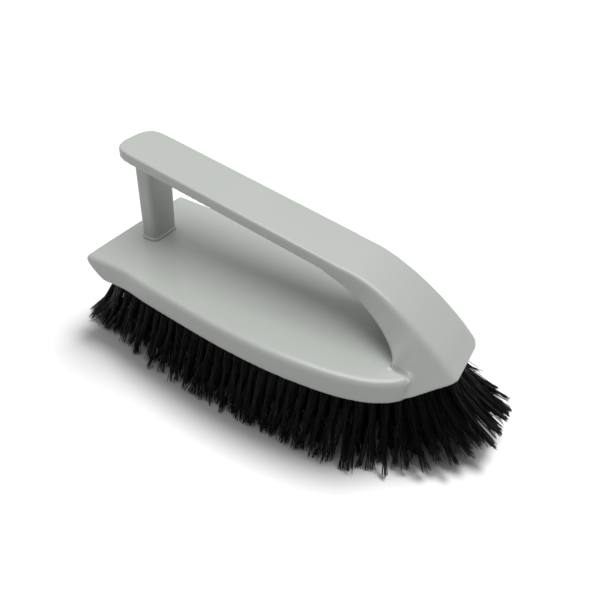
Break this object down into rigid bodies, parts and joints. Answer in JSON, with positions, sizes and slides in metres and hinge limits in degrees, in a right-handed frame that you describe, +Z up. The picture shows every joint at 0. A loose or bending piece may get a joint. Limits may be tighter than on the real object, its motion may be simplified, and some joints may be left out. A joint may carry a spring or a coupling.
{
  "type": "scrub brush",
  "caption": "Hand scrub brush: a boat-shaped block with splayed black bristle tufts and a flat loop handle that runs from a rear post down into a flared bow.",
  "frame": {"origin": "middle of the bounding box, level with the trimmed bristle tips that the brush stands on", "axes": "+X along the block from the stern to the nose, +Y across it, +Z up to the handle"},
  "size_m": [0.182, 0.088, 0.0785],
  "materials": {
    "block_plastic": "satin gloss moulded plastic",
    "handle_plastic": "satin gloss moulded plastic",
    "black_filament": "drawn synthetic filament, slightly glossy"
  },
  "bodies": {
    "root": {"block": "block_plastic", "handle": "handle_plastic", "tuft_01": "black_filament", "tuft_02": "black_filament", "tuft_03": "black_filament", "tuft_04": "black_filament", "tuft_05": "black_filament", "tuft_06": "black_filament", "tuft_07": "black_filament", "tuft_08": "black_filament", "tuft_09": "black_filament", "tuft_10": "black_filament", "tuft_11": "black_filament", "tuft_12": "black_filament", "tuft_13": "black_filament", "tuft_14": "black_filament", "tuft_15": "black_filament", "tuft_16": "black_filament", "tuft_17": "black_filament", "tuft_18": "black_filament", "tuft_19": "black_filament", "tuft_20": "black_filament", "tuft_21": "black_filament", "tuft_22": "black_filament", "tuft_23": "black_filament", "tuft_24": "black_filament", "tuft_25": "black_filament", "tuft_26": "black_filament", "tuft_27": "black_filament", "tuft_28": "black_filament", "tuft_29": "black_filament", "tuft_30": "black_filament", "tuft_31": "black_filament", "tuft_32": "black_filament", "tuft_33": "black_filament", "tuft_34": "black_filament", "tuft_35": "black_filament", "tuft_36": "black_filament", "tuft_37": "black_filament", "tuft_38": "black_filament", "tuft_39": "black_filament", "tuft_40": "black_filament", "tuft_41": "black_filament", "tuft_42": "black_filament", "tuft_43": "black_filament", "tuft_44": "black_filament", "tuft_45": "black_filament", "tuft_46": "black_filament", "tuft_47": "black_filament", "tuft_48": "black_filament", "tuft_49": "black_filament", "tuft_50": "black_filament", "tuft_51": "black_filament", "tuft_52": "black_filament", "tuft_53": "black_filament", "tuft_54": "black_filament"}
  },
  "joints": []
}
